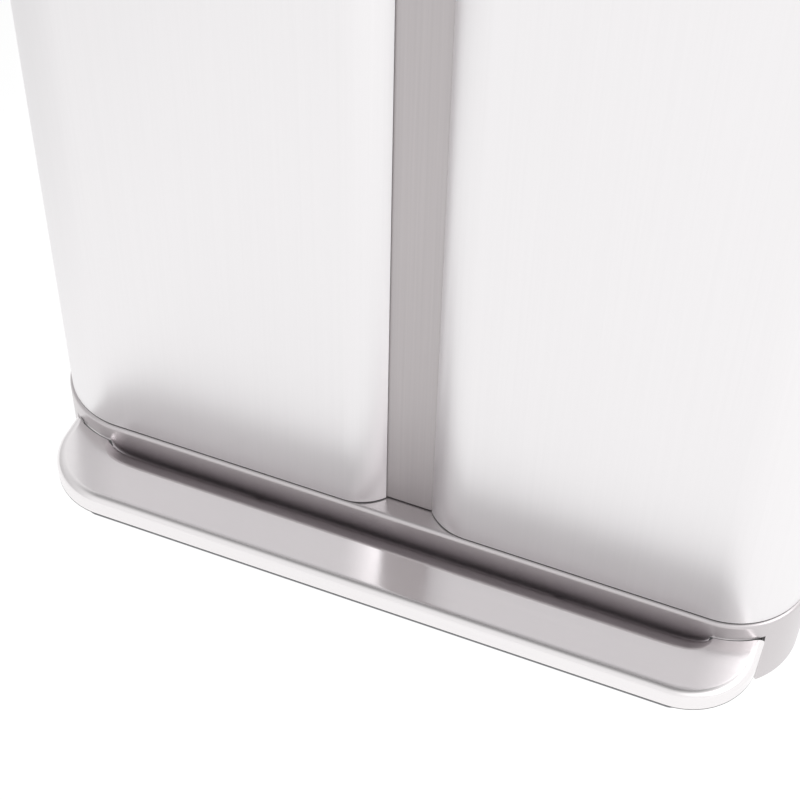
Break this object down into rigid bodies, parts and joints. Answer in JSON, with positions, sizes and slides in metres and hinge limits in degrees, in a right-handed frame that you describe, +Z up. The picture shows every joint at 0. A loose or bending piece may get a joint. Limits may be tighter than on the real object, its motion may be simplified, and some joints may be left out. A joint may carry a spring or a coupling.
{
  "type": "two compartment pedal bin",
  "caption": "Floor-standing steel waste bin with side-by-side inner buckets, a wide front pedal and a rear-hinged lid that the pedal lifts through a rod.",
  "frame": {"origin": "centre of the underside of the bin's outer box, on the floor", "axes": "+Z up, +X to the right as seen from the front, front and pedal towards -Y"},
  "size_m": [0.584, 0.328, 0.6683],
  "materials": {
    "brushed_steel": "fine vertical brushed satin steel",
    "pedal_steel": "brushed steel, grain along the pedal",
    "grey_strip": "darker vertical brushed satin",
    "base_grey": "satin metallic grey moulding",
    "black_plastic": "fine moulded texture",
    "grey_plastic": "fine moulded texture",
    "bucket_plastic": "satin moulded",
    "plain_steel": "zinc plated",
    "rubber": "matte"
  },
  "bodies": {
    "bin": {"base": "base_grey", "foot_front_left": "rubber", "foot_back_left": "rubber", "foot_front_right": "rubber", "foot_back_right": "rubber", "right_shell": "brushed_steel", "left_shell": "brushed_steel", "centre_strip": "grey_strip", "back_panel": "grey_plastic", "divider": "grey_plastic", "collar": "black_plastic", "lid_bumper_left": "rubber", "lid_bumper_right": "rubber", "hinge_block_left": "black_plastic", "hinge_pin_left": "plain_steel", "hinge_screw_left_inner": "plain_steel", "hinge_screw_left_outer": "plain_steel", "hinge_block_right": "black_plastic", "hinge_pin_right": "plain_steel", "hinge_screw_right_inner": "plain_steel", "hinge_screw_right_outer": "plain_steel", "hinge_cover": "black_plastic", "pedal_shaft": "plain_steel", "pivot_bracket_left": "black_plastic", "pivot_bracket_right": "black_plastic", "rod_guide_lower": "black_plastic", "rod_guide_upper": "black_plastic", "damper_cylinder": "black_plastic", "damper_bracket": "black_plastic"},
    "pedal": {"pedal_plate": "pedal_steel", "pedal_tray": "grey_plastic", "pedal_arm_left": "plain_steel", "pedal_arm_right": "plain_steel", "pedal_cross_tube": "plain_steel", "pedal_lever": "plain_steel"},
    "lift_rod": {"lift_rod": "plain_steel", "lift_clamp": "plain_steel", "damper_piston": "plain_steel"},
    "lid": {"lid_skin": "brushed_steel", "lid_frame": "black_plastic", "lid_panel": "black_plastic", "lid_lever": "plain_steel"},
    "bucket_left": {"bucket_left": "bucket_plastic"},
    "bucket_right": {"bucket_right": "bucket_plastic"}
  },
  "joints": [
    {"name": "lid_hinge", "type": "hinge", "parent": "bin", "child": "lid", "pos_m": [0, 0.116, 0.6573], "axis": [-1, 0, 0], "range_deg": [0, 75]},
    {"name": "pedal_hinge", "type": "hinge", "parent": "bin", "child": "pedal", "pos_m": [0, -0.034, 0.025], "axis": [1, 0, 0], "range_deg": [0, 10]},
    {"name": "rod_slide", "type": "slide", "parent": "bin", "child": "lift_rod", "axis": [0, 0, 1], "range_m": [0, 0.0238]},
    {"name": "left_bucket_lift", "type": "slide", "parent": "bin", "child": "bucket_left", "axis": [0, 0, 1], "range_m": [0, 0.012]},
    {"name": "right_bucket_lift", "type": "slide", "parent": "bin", "child": "bucket_right", "axis": [0, 0, 1], "range_m": [0, 0.012]}
  ],
  "couplings": [
    {"joint": "pedal_hinge", "follows": "lid_hinge", "ratio": 0.1333},
    {"joint": "rod_slide", "follows": "lid_hinge", "m_per_rad": 0.0181}
  ]
}
